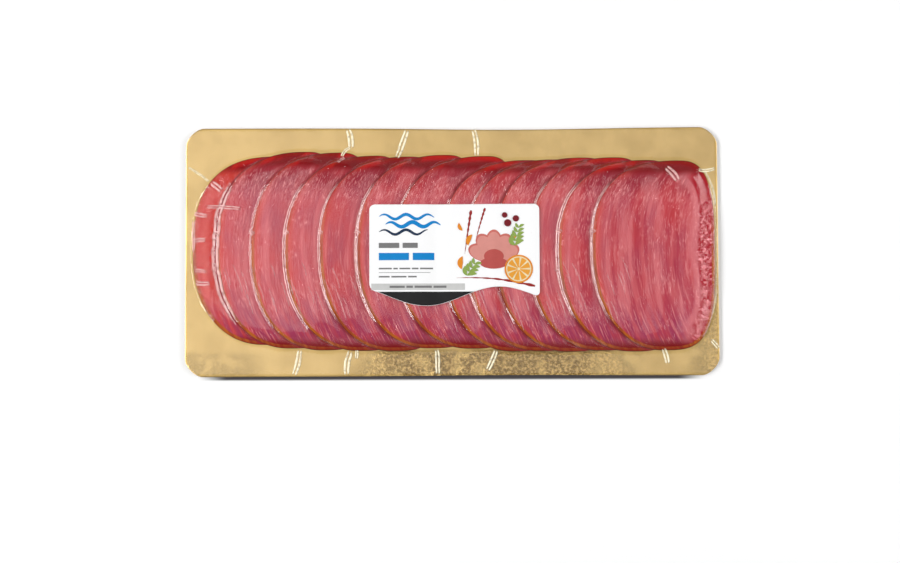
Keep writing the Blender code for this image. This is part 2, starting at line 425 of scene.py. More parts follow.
def board_waves(x, y):
    """Slow waves of the pressed foil and finer ones near the lower edge."""
    slow = value_noise(x, y, 31 * MM, 23 * MM, 11)
    rough = ramp(-y, 47 * MM, 56 * MM) * ramp(-np.abs(x - ROUGH_MIDDLE), -75 * MM, -45 * MM)
    fine = value_noise(x, y, 1.5 * MM, 1.3 * MM, 12) + 0.6 * value_noise(x, y, 0.9 * MM, 0.8 * MM, 13)
    return FOIL_WAVES * slow + FOIL_ROUGHNESS * rough * fine


def level_grid(inset, height, rows, columns):
    """The board's outline filled with points, all at one height."""
    x, y = rounded_grid(inset, rows, columns)
    return np.stack([x, y, np.full(x.shape, height)], axis=-1).reshape(-1, 3)


def make_board(finish, edge_finish):
    """The top, rings of points down the edge, and an underside whose border is
    the last ring."""
    rows, columns = 120, 250
    x, y = rounded_grid(TOP_INSET, rows, columns)
    top = np.stack([x, y, BOARD_TOP + board_waves(x, y)], axis=-1).reshape(-1, 3)
    loop = border(rows, columns)
    rings = []
    for inset, drop in EDGE_PROFILE:
        rings.append(level_grid(inset * MM, BOARD_TOP + drop * MM, rows, columns)[loop])
    under = level_grid(EDGE_PROFILE[-1][0] * MM, 0.0, rows, columns)
    count = rows * columns
    side = len(loop)
    levels = len(EDGE_PROFILE)
    rim = [loop] + [count + level * side + np.arange(side) for level in range(levels)]
    belts = [belt(high, low) for high, low in zip(rim, rim[1:])]
    inner = np.setdiff1d(np.arange(count), loop)
    number = np.empty(count, int)
    number[loop] = rim[-1]
    number[inner] = count + levels * side + np.arange(len(inner))
    faces = grid_faces(rows, columns)
    points = np.concatenate([top, *rings, under[inner]])
    groups = [faces, *belts, number[faces][:, ::-1]]
    piece = make_piece("gold_board", points, groups, finish, ["board"])
    piece.data.materials.append(edge_finish)
    index = np.zeros(len(piece.data.polygons), np.int32)
    index[len(faces) + CUT_FROM * side : len(faces) + CUT_TO * side] = 1
    piece.data.polygons.foreach_set("material_index", index)
    return piece


# %% [markdown]
# The foil is gold in colour and mostly metallic, and rough enough that the lamps
# blur into a soft sheen. A share of plain colour keeps it gold where it has
# nothing bright to mirror. Fine streaks come from the rolling of the foil, small
# dark specks are where it is rubbed through, and along the lower edge and the
# right one it is crumpled, with painted shade in its dips.

# %% Gold finish
GOLD = (0.77, 0.525, 0.190)
GOLD_DULL = (0.65, 0.430, 0.145)
GOLD_DARK = (0.27, 0.165, 0.040)
CARD_DARK = (0.20, 0.14, 0.09)
CARD_PALE = (0.42, 0.34, 0.25)


def crumpled_foil(gold, where):
    """Patches along the lower edge, most in its middle, and up the right one."""
    place = gold.add("SeparateXYZ", {0: where}).outputs
    low = gold.between(place["Y"], -45.5 * MM, -49 * MM)
    middle = gold.between(gold.away(place["X"], 20 * MM), 74 * MM, 40 * MM)
    corner = gold.between(place["X"], -75 * MM, -110 * MM, 0.0, 0.22)
    right = gold.between(place["X"], 105 * MM, 124 * MM, 0.0, 0.5)
    right = gold.times(right, gold.between(place["Y"], 20 * MM, -30 * MM))
    crumpled = gold.larger(gold.times(low, gold.larger(middle, corner)), right)
    return gold.times(crumpled, gold.between(gold.noise(where, 110.0, 3), 0.30, 0.52, 0.25, 1.0))


def gold_finish():
    """Clouds, streaks and specks of duller gold, and the crumpled patches with
    painted shade in their dips.
    """
    gold = Finish("gold_foil")
    where = gold.place()
    streaks = gold.grain(where, (1100, 120, 1), 3)
    clouds = gold.noise(where, 55.0, 4, 0.6)
    pits = gold.noise(where, 780.0, 4, 0.65)
    crumpled = crumpled_foil(gold, where)
    specks = gold.between(pits, 0.66, 0.74, 0.0, 0.4)
    # Painted shade in the dips of the crumpled foil.
    hollow_shade = gold.times(gold.between(pits, 0.62, 0.42, 0.15, 1.0), crumpled)
    tone = gold.mix(gold.between(clouds, 0.35, 0.7), GOLD, GOLD_DULL)
    tone = gold.mix(gold.between(streaks, 0.40, 0.75, 0.0, 0.22), tone, GOLD_DULL)
    tone = gold.mix(gold.larger(specks, hollow_shade), tone, GOLD_DARK)
    grain = gold.bump(streaks, 0.4, 0.1 * MM)
    relief = gold.bump(gold.times(pits, crumpled), 1.0, 1.5 * MM, grain)
    gold.set(Base_Color=tone, Metallic=0.7, Roughness=0.29, Normal=relief)
    return gold.material


def card_finish():
    """The layers of the card, seen on its cut edge."""
    card = Finish("card_edge")
    where = card.place()
    layers = card.grain(where, (60, 60, 9000), 2)
    card.set(Base_Color=card.mix(layers, CARD_DARK, CARD_PALE), Roughness=0.85)
    return card.material


make_board(gold_finish(), card_finish())

# %% [markdown]
# ## Slices of tuna
#
# A slice is cut across the loin, so its outline is a rounded box: rounder on the
# left and squarer on the right. Each quarter is a superellipse, |x/a|^n + |y/b|^n
# = 1, with its own n. Each slice lies one step further along the board, on top of
# the one before it.

# %% Slice outlines
FAN_STEPS = (11.3, 16.2, 16.2, 16.2, 17.2, 18.3, 21.2, 11.3, 13.6, 15.7, 13.8, 15.6)
UPPER_ENDS = (45.2, 47.6, 47.0, 45.4, 45.2, 45.6, 45.2, 43.2, 43.2, 44.4, 44.2, 42.9, 42.8)
LOWER_ENDS = (43.9, 45.3, 46.4, 46.8, 46.7, 45.8, 45.8, 47.1, 47.3, 47.3, 47.1, 47.5, 46.8)
FIRST_EDGE = -121.7 * MM
EDGES = FIRST_EDGE + MM * np.concatenate([[0], np.cumsum(FAN_STEPS)])
COUNT = len(EDGES)
WIDTH = 58.6 * MM
UPPER_TIP = 42.0 * MM
UPPER_POWERS = (2.75, 2.45, 2.35, 2.35, 2.35, 2.4, 2.4, 2.4, 2.4, 2.4, 2.4, 2.4, 2.45)
UPPER_RIGHT_POWER = 3.0
LOWER_POWER = 2.15
LOWER_RIGHT_POWER = 3.6
LOWER_TIP = 33.8 * MM
PITCH = 2.0 * MM
THICKNESS = 1.85 * MM
RIM_THICKNESS = 1.05 * MM
RIM_RADIUS = 0.7 * MM
THINNING_BAND = 9 * MM
SLICE_LIFT = 0.15 * MM


def slice_outline(index, angle):
    """Half sizes times |cos| and |sin| to the power 2 / n, quarter by quarter,
    and a slow wave of less than a hundredth so that no two slices match."""
    cosine = np.cos(angle)
    sine = np.sin(angle)
    upper = sine >= 0
    left = cosine < 0
    tip = np.where(upper, UPPER_TIP, LOWER_TIP)
    half_width = np.where(left, tip, WIDTH - tip)
    upper_power = np.where(left, UPPER_POWERS[index], UPPER_RIGHT_POWER)
    lower_power = np.where(left, LOWER_POWER, LOWER_RIGHT_POWER)
    exponent = np.where(upper, upper_power, lower_power)
    wave = 1 - 0.004 * (1 + np.sin(3 * angle + 2.4 * index))
    x = tip + wave * half_width * np.sign(cosine) * np.abs(cosine) ** (2 / exponent)
    y = wave * slice_end(index, sine) * np.sign(sine) * np.abs(sine) ** (2 / exponent)
    return EDGES[index] + x, y


def slice_end(index, y):
    """How far the slice reaches on the side of the board that y is on."""
    return np.where(y >= 0, UPPER_ENDS[index], LOWER_ENDS[index]) * MM


def slice_middle(index):
    """The point that a slice's rings of points close in on."""
    return EDGES[index] + WIDTH / 2, 0.0


def rim_inset(index, x, y):
    """Distance inside the outline, measured towards the slice's middle."""
    outline_x, outline_y = slice_outline(index, np.linspace(-math.pi, math.pi, 1441))
    middle_x, middle_y = slice_middle(index)
    bearing = np.unwrap(np.arctan2(outline_y - middle_y, outline_x - middle_x))
    radius = np.hypot(outline_x - middle_x, outline_y - middle_y)
    at = np.arctan2(y - middle_y, x - middle_x)
    return np.interp(at, bearing, radius, period=2 * math.pi) - np.hypot(x - middle_x, y - middle_y)


print(COUNT, "slices along", round(float(EDGES[-1] + WIDTH - EDGES[0]) / MM, 1), "mm")

# %% [markdown]
# How high does each slice lie? Number the slices from 0 and ask, for each point,
# which one touches the board there. That map is a staircase. Smoothed, it gives
# all the heights at once: slice k lies (k - lowest) steps above the board, so
# every slice is parallel to its neighbours and none can cut through another.

# %% Heights of the stack
BEND = 8.5 * MM
PRESSED_BAND = 7.0 * MM
PRESSED_FROM = 18 * MM
PRESSED_FULLY = 36 * MM
PRESSED_SHARE = 0.25


def lowest_slice():
    """The number of the lowest slice at each point, smoothed."""
    lowest = np.full(MESH_X.shape, float(COUNT - 1))
    for index in reversed(range(COUNT)):
        lowest[rim_inset(index, MESH_X, MESH_Y) > -0.3 * MM] = index
    return blur(spread(lowest, BEND, np.minimum), BEND)


def fan_depth():
    """Distance inside the outline of the whole fan."""
    depth = np.full(MESH_X.shape, -1.0)
    for index in range(COUNT):
        depth = np.maximum(depth, rim_inset(index, MESH_X, MESH_Y))
    return depth


LOWEST = lowest_slice()
DEPTH = fan_depth()
NEAR_ENDS = ramp(np.abs(MESH_Y), PRESSED_FROM, PRESSED_FULLY)
PRESS = 1 - (1 - PRESSED_SHARE) * NEAR_ENDS * (1 - blur(ramp(DEPTH, 0, PRESSED_BAND), 1 * MM))
print("the fan covers", round(float((DEPTH > 0).mean()) * 100), "% of the board")


def slice_surfaces(index, x, y, inset):
    """Upper and lower heights. The slice thins towards its outline, where a
    half circle closes it, and the whole stack is pressed down at the ends."""
    bed = SLICE_LIFT + PITCH * (index - read_field(LOWEST, x, y))
    thickness = RIM_THICKNESS + (THICKNESS - RIM_THICKNESS) * ramp(inset, 0, THINNING_BAND)
    close = np.sqrt(1 - (1 - np.clip(inset / RIM_RADIUS, 0, 1)) ** 2)
    upper = bed + RIM_THICKNESS / 2 * (1 + close) + thickness - RIM_THICKNESS
    lower = bed + RIM_THICKNESS / 2 * (1 - close)
    press = read_field(PRESS, x, y)
    return BOARD_TOP + upper * press, BOARD_TOP + lower * press


# %% Slice meshes
SIDES = 260
UPPER_RINGS = 54
LOWER_RINGS = 16
RING_CROWDING = 1.5
GRAIN_BOW = 13 * MM
GRAIN_POWER = 2.2
CUT_UNIT = 100 * MM
UNCOVERED = 9.0


def across_grain(index, x, y):
    """Distance across the muscle's grain, whose lines bow as the left rim does."""
    reach = np.abs(y / slice_end(index, y))
    return x - EDGES[index] - GRAIN_BOW * reach**GRAIN_POWER


def fibre_relief(index, x, y):
    """Fine ridges that run with the grain."""
    across = across_grain(index, x, y)
    fine = value_noise(across, y, 0.9 * MM, 14 * MM, 100 + index)
    broad = value_noise(across, y, 3.1 * MM, 22 * MM, 200 + index)
    return (0.035 * fine + 0.05 * broad) * MM


def add_slice_marks(piece, index, x, y):
    """What the finish reads: a map along the grain, millimetres inside the rim,
    the place between the rims and the ends from -1 to 1, the slice's number,
    and millimetres outside the slice that lies on this one."""
    middle_x, _ = slice_middle(index)
    covered = np.full(len(x), UNCOVERED)
    if index + 1 < COUNT:
        covered = np.clip(-rim_inset(index + 1, x, y) / MM, -UNCOVERED, UNCOVERED)
    add_uv(piece, "cut", across_grain(index, x, y) / CUT_UNIT, y / CUT_UNIT)
    add_number(piece, "inset", np.maximum(rim_inset(index, x, y), 0) / MM)
    add_number(piece, "side", (x - middle_x) / (WIDTH / 2))
    add_number(piece, "up", y / slice_end(index, y))
    add_number(piece, "order", np.full(len(x), float(index)))
    add_number(piece, "covered", covered)


def make_slice(index, finish):
    """Rings of points from the middle out to the rim, on the upper and on the
    lower surface. Ring t of 1 has the scale 1 - (1 - t)^1.5, so the rings crowd
    at the rim, where the slice curves most."""
    angle = np.arange(SIDES) * 2 * math.pi / SIDES
    rim_x, rim_y = slice_outline(index, angle)
    middle_x, middle_y = slice_middle(index)
    radius = np.hypot(rim_x - middle_x, rim_y - middle_y)

    def rings(count):
        scale = 1 - (1 - np.arange(1, count + 1) / count)[:, None] ** RING_CROWDING
        x = middle_x + scale * (rim_x - middle_x)
        y = middle_y + scale * (rim_y - middle_y)
        return x, y, (1 - scale) * radius

    x, y, inset = rings(UPPER_RINGS)
    upper, _ = slice_surfaces(index, x, y, inset)
    upper = upper + fibre_relief(index, x, y) * ramp(inset, 0, 2 * MM)
    under_x, under_y, under_inset = rings(LOWER_RINGS)
    _, lower = slice_surfaces(index, under_x[:-1], under_y[:-1], under_inset[:-1])
    pole = np.array([[middle_x, middle_y]])
    pole_inset = np.full(1, radius.min())
    pole_up, pole_down = slice_surfaces(index, pole[:, 0], pole[:, 1], pole_inset)

    top = np.stack([x, y, upper], axis=-1).reshape(-1, 3)
    bottom = np.stack([under_x[:-1], under_y[:-1], lower], axis=-1).reshape(-1, 3)
    points = np.concatenate([np.c_[pole, pole_up], top, np.c_[pole, pole_down], bottom])
    here = np.arange(SIDES)
    after = (here + 1) % SIDES
    start = 1 + len(top)
    fan = np.stack([np.zeros(SIDES, int), 1 + here, 1 + after], axis=1)
    under_fan = np.stack([np.full(SIDES, start), start + 1 + after, start + 1 + here], axis=1)
    last_top = 1 + (UPPER_RINGS - 1) * SIDES
    last_low = start + 1 + (LOWER_RINGS - 2) * SIDES
    seam = belt(last_top + here, last_low + here)
    groups = [
        fan,
        under_fan,
        ring_faces(UPPER_RINGS, SIDES)[:, ::-1] + 1,
        ring_faces(LOWER_RINGS - 1, SIDES) + start + 1,
        seam,
    ]
    piece = make_piece(f"tuna_slice_{index + 1:02d}", points, groups, finish, [SLICE_NODES[index]])
    add_slice_marks(piece, index, points[:, 0], points[:, 1])
    return piece


# %% [markdown]
# The flesh is deep red, turning to plum, with paler bands that are painted sheen
# of the film. A thin orange-brown rim is where the smoke coloured the outside of
# the loin, and pale lines along the grain are the sheets between the muscle. At
# both ends the slices are pressed against the film; painted shade makes them dark
# crimson and draws dark lines along the rims, and painted highlights add the
# film's pale folds, hairs and glints. Each of these is a short recipe that lays one
# more thing over the colour so far.

# %% Tuna colours
FLESH = (0.62, 0.058, 0.071)
FLESH_PALE = (0.70, 0.140, 0.158)
FLESH_DEEP = (0.44, 0.018, 0.026)
FLESH_PLUM = (0.49, 0.052, 0.088)
# Painted shade towards the upper end of each slice.
FLESH_SHADE = (0.27, 0.014, 0.028)
FLESH_WARM = (0.68, 0.046, 0.022)
FLESH_VIOLET = (0.36, 0.038, 0.110)
# Painted light at the right end: a film fold's highlight, shade, and glints.
FOLD_HIGHLIGHT = (0.78, 0.22, 0.24)
CRIMSON_SHADE = (0.46, 0.004, 0.016)
FLESH_GLINT = (0.80, 0.22, 0.25)
# Painted shade at both ends of the slices, lighter red along the upper crest.
END_SHADE = (0.25, 0.001, 0.004)
CREST_RED = (0.52, 0.005, 0.007)
# Pale threads along the grain, and pale hairs that are painted glints of the film.
SINEW_AND_GLINT = (0.82, 0.29, 0.30)
SMOKED_RIM = (0.52, 0.120, 0.012)
SMOKED_DARK = (0.36, 0.055, 0.010)
# Painted shade: on each slice's very edge, and at the foot of the next slice's rim.
RIM_EDGE_SHADE = (0.120, 0.014, 0.005)
STEP_SHADE = (0.34, 0.014, 0.024)


def slice_marks(tuna):
    """The numbers that each point carries, and noise drawn out along the grain.
    The noise is shifted by the slice's number, so no two slices match."""
    order = tuna.number("order")
    cut = tuna.add("UVMap", uv_map="cut").outputs[0]
    apart = tuna.add("CombineXYZ", {"Z": tuna.times(order, 7.3)}).outputs[0]
    where = tuna.add("VectorMath", {0: cut, 1: apart}, operation="ADD").outputs[0]
    return SimpleNamespace(
        order=order,
        inset=tuna.number("inset"),
        side=tuna.number("side"),
        up=tuna.number("up"),
        covered=tuna.number("covered"),
        where=where,
        clouds=tuna.grain(where, (9, 5, 1), 3),
        streaks=tuna.grain(where, (60, 7, 1), 3, 0.6),
        threads=tuna.grain(where, (210, 9, 1), 2),
    )


# %% Flesh


def muscle(tuna, at):
    """Clouds of plum and pale bands, the bands a painted sheen of the film, crossed
    by darker streaks and threads.
    """
    tone = tuna.mix(tuna.between(at.clouds, 0.30, 0.70), FLESH, FLESH_PLUM)
    # The pale bands are painted sheen of the film's broad waves over the slices.
    bands = tuna.grain(at.where, (26, 2.5, 1), 2)
    tone = tuna.mix(tuna.between(bands, 0.48, 0.64, 0.0, 0.75), tone, FLESH_PALE)
    tone = tuna.mix(tuna.between(at.streaks, 0.40, 0.75, 0.0, 0.22), tone, FLESH_DEEP)
    return tuna.mix(tuna.between(at.threads, 0.45, 0.65, 0.0, 0.15), tone, FLESH_PALE)


def warmth(tuna, at, tone):
    """Painted shade towards the upper end, violet towards the lower one, and a warm
    red along the left rim and all over the first slice."""
    # Painted shade, darker towards the upper end.
    shade = tuna.between(at.up, 0.50, 0.82, 0.0, 0.7)
    shade = tuna.times(shade, tuna.between(at.clouds, 0.35, 0.55, 0.4, 1.0))
    tone = tuna.mix(shade, tone, FLESH_SHADE)
    rim = tuna.times(tuna.between(at.inset, 5.0, 1.0), tuna.between(at.side, 0.2, -0.2))
    rim = tuna.times(rim, tuna.between(at.up, 0.60, 0.35, 0.25, 1.0))
    warm = tuna.larger(rim, tuna.between(at.order, 0.5, 0.4, 0.0, 0.9))
    tone = tuna.mix(tuna.times(warm, 0.75), tone, FLESH_WARM)
    violet = tuna.times(tuna.between(at.up, -0.40, -0.85), tuna.between(at.streaks, 0.35, 0.60, 0.2, 0.8))
    return tuna.mix(violet, tone, FLESH_VIOLET)


def sinews_and_glints(tuna, at, tone):
    """Pale threads over the lower half, and pale hairs in tufts, most of them in
    a belt towards the upper end: the hairs are painted glints of the film."""
    low_half = tuna.between(at.up, 0.15, -0.35, 0.15, 0.6)
    tone = tuna.mix(tuna.times(tuna.between(at.threads, 0.60, 0.67), low_half), tone, SINEW_AND_GLINT)
    tufts = tuna.between(tuna.noise(at.where, 11.0, 2), 0.46, 0.62, 0.0, 0.8)
    tufts = tuna.larger(tufts, tuna.between(tuna.away(at.up, 0.66), 0.2, 0.1, 0.0, 0.85))
    tufts = tuna.times(tufts, tuna.between(at.up, 0.86, 0.78, 0.3, 1.0))
    # The hairs are painted glints of the film's fine wrinkles.
    hairs = tuna.grain(at.where, (300, 40, 1), 2, turn=0.08)
    hairs = tuna.calc("MULTIPLY_ADD", tufts, 0.03, third=hairs)
    return tuna.mix(tuna.times(tuna.between(hairs, 0.595, 0.66), tufts), tone, SINEW_AND_GLINT)


# %% Ends and rims of the slices


def right_end(tuna, at, tone):
    """A pale fold along the right rim, and crimson with glints past it: the fold and
    the glints are painted highlights of the film, the crimson is painted shade.
    """
    # A painted highlight of a film fold along the right rim.
    fold = tuna.times(tuna.between(at.inset, 13.5, 11.0), tuna.between(at.side, 0.35, 0.6, 0.0, 0.6))
    tone = tuna.mix(fold, tone, FOLD_HIGHLIGHT)
    # Painted shade at the right end, with painted glints of the film's crinkles.
    end_shade = tuna.times(tuna.between(at.inset, 9.3, 8.0), tuna.between(at.side, 0.5, 0.7))
    tone = tuna.mix(end_shade, tone, CRIMSON_SHADE)
    glints = tuna.grain(at.where, (60, 90, 1), 1, turn=0.3)
    glints = tuna.times(tuna.between(glints, 0.48, 0.64), tuna.between(at.up, 0.80, 0.35), end_shade)
    return tuna.mix(glints, tone, FLESH_GLINT)


def shaded_ends(tuna, at, tone):
    """Painted shade at both ends: dark crimson, with a brighter red crest along the
    upper rim that is weak on the last slice."""
    crest = tuna.times(tuna.between(at.inset, 3.8, 1.6), tuna.between(at.up, 0.5, 0.8))
    crest = tuna.times(crest, tuna.between(at.clouds, 0.42, 0.52, 0.15, 1.0))
    crest = tuna.times(crest, tuna.between(at.order, 11.2, 11.8, 1.0, 0.2))
    # Painted shade at both ends of the slice.
    ends = tuna.larger(tuna.between(at.up, 0.80, 0.89), tuna.between(at.up, -0.87, -0.96))
    return tuna.mix(ends, tone, tuna.mix(crest, END_SHADE, CREST_RED))


def smoked_rim(tuna, at, tone):
    """The smoked outside, clearest along the lower part of the rim, and painted shade:
    a dark line on the very edge and a red one at the foot of the next slice's rim."""
    low = tuna.times(tuna.between(at.up, 0.7, -0.3, 0.1, 1.0), tuna.between(at.up, -0.99, -0.93, 0.3, 1.0))
    crust = tuna.mix(tuna.between(at.streaks, 0.40, 0.62), SMOKED_RIM, SMOKED_DARK)
    tone = tuna.mix(tuna.times(tuna.between(at.inset, 1.9, 1.35), low), tone, crust)
    # Painted shade as a dark line on the very edge of the slice.
    tone = tuna.mix(tuna.between(at.inset, 0.40, 0.20, 0.0, 0.9), tone, RIM_EDGE_SHADE)
    # Painted shade at the foot of the next slice's rim.
    step = tuna.between(tuna.away(at.up), 0.45, 0.70, 0.25, 0.7)
    step = tuna.larger(step, tuna.between(at.order, 0.5, 0.4, 0.0, 0.9))
    return tuna.mix(tuna.times(tuna.between(at.covered, 1.3, 0.5), step), tone, STEP_SHADE)


# %% Tuna finish


def tuna_finish():
    """The muscle's colour, and then each recipe laid over the last."""
    tuna = Finish("tuna_flesh")
    at = slice_marks(tuna)
    tone = muscle(tuna, at)
    for recipe in (warmth, sinews_and_glints, right_end, shaded_ends, smoked_rim):
        tone = recipe(tuna, at, tone)
    tuna.set(Base_Color=tone, Roughness=tuna.between(at.streaks, 0.3, 0.7, 0.32, 0.45))
    tuna.set(Specular_IOR_Level=0.08, Normal=tuna.bump(at.streaks, 0.3, 0.1 * MM))
    return tuna.material


tuna = tuna_finish()
for slice_number in range(COUNT):
    make_slice(slice_number, tuna)

# %% [markdown]
# ## Film
#
# Vacuum film lies tight on whatever is under it, bridges each step in a short
# curve, and is sealed flat on the board. So its height is the highest thing
# nearby, smoothed over about a millimetre. What makes it look like film are its
# faults: folds that run from the fish to the edge, streaks where it is pulled,
# and crinkles where there is too much of it.

# %% Film heights
FILM_GAP = 0.10 * MM


def contents_top():
    """Height of the board or of the highest slice at each point."""
    top = np.full(MESH_X.shape, BOARD_TOP)
    for index in range(COUNT):
        inset = rim_inset(index, MESH_X, MESH_Y)
        upper, _ = slice_surfaces(index, MESH_X, MESH_Y, np.maximum(inset, 0))
        top = np.where(inset > 0, np.maximum(top, upper), top)
    return top


CONTENTS = contents_top()
HUGGED = blur(spread(CONTENTS, 0.4 * MM, np.maximum), 0.8 * MM) + FILM_GAP
print("film peak", round(float(HUGGED.max()) / MM, 2), "mm")

# %% [markdown]
# Wrinkles of the film itself go into its heights: streaks that are pulled across
# the slices, crimps below the upper edge, and crinkles where film is left over.

# %% Film wrinkles
KNOT_HEIGHT = 8.3 * MM


def crinkled_zones(x, y):
    """From 0 to 1, how crumpled the film is: it is so at the right end, on the
    first slice's strip and in a knot at the rim of each slice."""
    right = 0.75 * ramp(x, 104 * MM, 112 * MM) * ramp(y, -46 * MM, -38 * MM) * ramp(-y, -38 * MM, -20 * MM)
    strip = ramp(-x, 109 * MM, 112 * MM) * ramp(-np.abs(y), -38 * MM, -25 * MM)
    rise = (y - KNOT_HEIGHT) / (1.2 * MM)
    knots = sum(np.exp(-(((x - edge + 0.3 * MM) / MM) ** 2) - rise**2) for edge in EDGES)
    on_fish = ramp(read_field(DEPTH, x, y), 0, 1 * MM)
    return np.clip(right + strip + knots, 0, 1) * on_fish


def film_wrinkles(x, y):
    """Sums of stretched noise, each weighted by the zone it belongs to."""
    on_fish = ramp(read_field(DEPTH, x, y), 0.5 * MM, 2 * MM)
    patches = ramp(value_noise(x, y, 15 * MM, 13 * MM, 31), -0.15, 0.6)
    lean = x + 0.22 * y * np.sign(y - 5 * MM)
    streaks = value_noise(lean, y, 1.3 * MM, 9 * MM, 32) * patches
    crimps = value_noise(x + 0.1 * y, y, 1.2 * MM, 4.5 * MM, 33) * ramp(y, 17 * MM, 36 * MM)
    crinkle = value_noise(x + 0.5 * y, y, 2.4 * MM, 1.5 * MM, 34) * crinkled_zones(x, y)
    return (0.04 * streaks + 0.035 * crimps + 0.16 * crinkle) * on_fish * MM


# %% Film mesh
FILM_INSET = 0.25 * MM
EDGE_DROP = 0.10 * MM
EDGE_BAND = 1.5 * MM


def film_height(x, y):
    """Tight over the contents, and drawn down round the board's edge."""
    edge = np.minimum(BOARD_LENGTH / 2 - np.abs(x), BOARD_WIDTH / 2 - np.abs(y))
    lowest = BOARD_TOP - EDGE_DROP
    height = read_field(HUGGED, x, y) + film_wrinkles(x, y)
    return lowest + (height - lowest) * ramp(edge, 0, EDGE_BAND)


def make_film(finish):
    """A grid of points at the film's height, just inside the board's edge."""
    rows, columns = 165, 600
    x, y = rounded_grid(FILM_INSET, rows, columns)
    points = np.stack([x, y, film_height(x, y)], axis=-1).reshape(-1, 3)
    piece = make_piece("clear_film", points, [grid_faces(rows, columns)], finish, ["film"])
    add_number(piece, "crinkled", crinkled_zones(x, y))
    add_number(piece, "on_fish", ramp(read_field(DEPTH, x, y), 0, 2 * MM))
    return piece


# %% [markdown]
# Clear film lets light through and adds a reflection on top, more of it at a
# slant. That is a mix of a transparent and a glossy shader. The share of gloss is
# Schlick's rule: f + (1 - f) (1 - cos)^5. A plain Fresnel node would treat the
# film's underside as the inside of solid plastic and let no slanting light out.

# %% Film finish
FILM_GLOSS = 0.055


def film_finish():
    """Transparent, with a share of gloss that bends over lines and crinkles."""
    film = Finish("clear_film")
    where = film.place()
    streaks = film.grain(where, (1300, 160, 1), 3, turn=0.12)
    sharp = film.between(streaks, 0.55, 0.70)
    patches = film.between(film.noise(where, 90.0, 2), 0.42, 0.60)
    lines = film.times(sharp, patches, film.number("on_fish"))
    normal = film.bump(lines, 0.8, 0.08 * MM)
    ripples = film.grain(where, (620, 760, 1), 4, 0.6, turn=0.2)
    normal = film.bump(film.times(ripples, film.number("crinkled")), 1.0, 0.6 * MM, normal)
    slant = film.add("LayerWeight", {"Blend": 0.5}).outputs["Facing"]
    share = film.calc("MULTIPLY_ADD", film.calc("POWER", slant, 5.0), 1 - FILM_GLOSS, third=FILM_GLOSS)
    clear = film.add("BsdfTransparent", {"Color": (0.98, 0.98, 0.98)}).outputs[0]
    shine = {"Color": (1.0, 1.0, 1.0), "Roughness": 0.11, "Normal": normal}
    gloss = film.add("BsdfGlossy", shine).outputs[0]
    mixed = film.add("MixShader", {0: share, 1: clear, 2: gloss}).outputs[0]
    film.tree.nodes.remove(film.shader)
    film.tree.links.new(mixed, film.output.inputs["Surface"])
    return film.material


make_film(film_finish())

# %% [markdown]
# Folds are too fine for the film's grid, so each is a ribbon of its own, laid on
# the film: two raised lips side by side, which is what a doubled crease looks like.
# A bell curve across the ribbon gives each lip, and the ribbon fades at its ends.
# Bent sharply, clear film turns milky, so the lips are pale and half transparent:
# partly that whitening and partly a painted highlight.
# The large folds are placed one by one: start, end, bulge, width and height, all
# in millimetres.

# %% Film folds
BOARD_FOLDS = {
    "top left": ((-48.9, 58.3), (-47.2, 48.6), 0.6, 2.1, 0.30),
    "top left hook": ((-47.2, 49.4), (-51.7, 44.4), -0.9, 1.1, 0.15),
    "top middle": ((-20.7, 58.3), (-26.3, 43.7), 0.5, 2.0, 0.30),
    "top right of middle": ((9.9, 58.3), (11.8, 44.2), 0.8, 1.9, 0.28),
    "upper left side": ((-124.6, 40.7), (-113.6, 32.9), 0.3, 0.8, 0.08),
    "right upper corner": ((115.6, 38.2), (124.6, 39.0), -0.7, 1.2, 0.20),
    "right upper curve": ((117.8, 39.6), (124.0, 20.0), 1.7, 0.6, 0.12),
    "right lower corner": ((121.0, -42.0), (124.8, -46.2), 0.3, 1.4, 0.22),
    "bottom left": ((-71.0, -45.4), (-74.3, -58.3), 0.5, 2.0, 0.30),
    "bottom next": ((-47.5, -46.0), (-49.4, -58.3), -0.5, 2.1, 0.30),
    "bottom short": ((-44.7, -46.0), (-45.1, -50.4), 0.2, 1.2, 0.18),
    "bottom middle": ((-7.5, -45.4), (-7.1, -58.2), 0.5, 1.7, 0.24),
    "bottom slanted": ((20.7, -46.0), (16.0, -56.2), 0.4, 1.8, 0.26),
    "bottom right": ((98.7, -45.6), (100.6, -53.4), 0.5, 1.8, 0.25),
}
FISH_FOLDS = {
    "strip slanted": ((-113.2, 33.0), (-107.8, 28.6), 0.2, 2.0, 0.20),
    "strip long": ((-116.0, 21.5), (-97.6, 19.9), 0.2, 1.3, 0.25),
    "strip upper": ((-121.4, 18.6), (-114.3, 17.2), -0.4, 1.6, 0.20),
    "strip middle": ((-121.4, 5.2), (-115.2, 5.5), 0.2, 1.4, 0.20),
    "strip lower": ((-120.9, -8.6), (-114.4, -9.4), 0.3, 1.2, 0.15),
    "strip lowest": ((-120.4, -14.2), (-113.0, -14.6), -0.3, 1.5, 0.20),
    "strip side": ((-121.6, 16.0), (-121.2, -1.0), 0.3, 1.1, 0.12),
    "upper band": ((-53.5, 41.5), (-50.0, 44.5), 0.2, 1.0, 0.15),
    "last slice upper": ((100.5, 39.5), (106.0, 32.0), 0.6, 2.4, 0.10),
}


def sideways(x, y):
    """The direction at right angles to a line at each of its points, and the
    length of the line's step there."""
    slope_x = np.gradient(x)
    slope_y = np.gradient(y)
    length = np.hypot(slope_x, slope_y)
    return -slope_y / length, slope_x / length, length


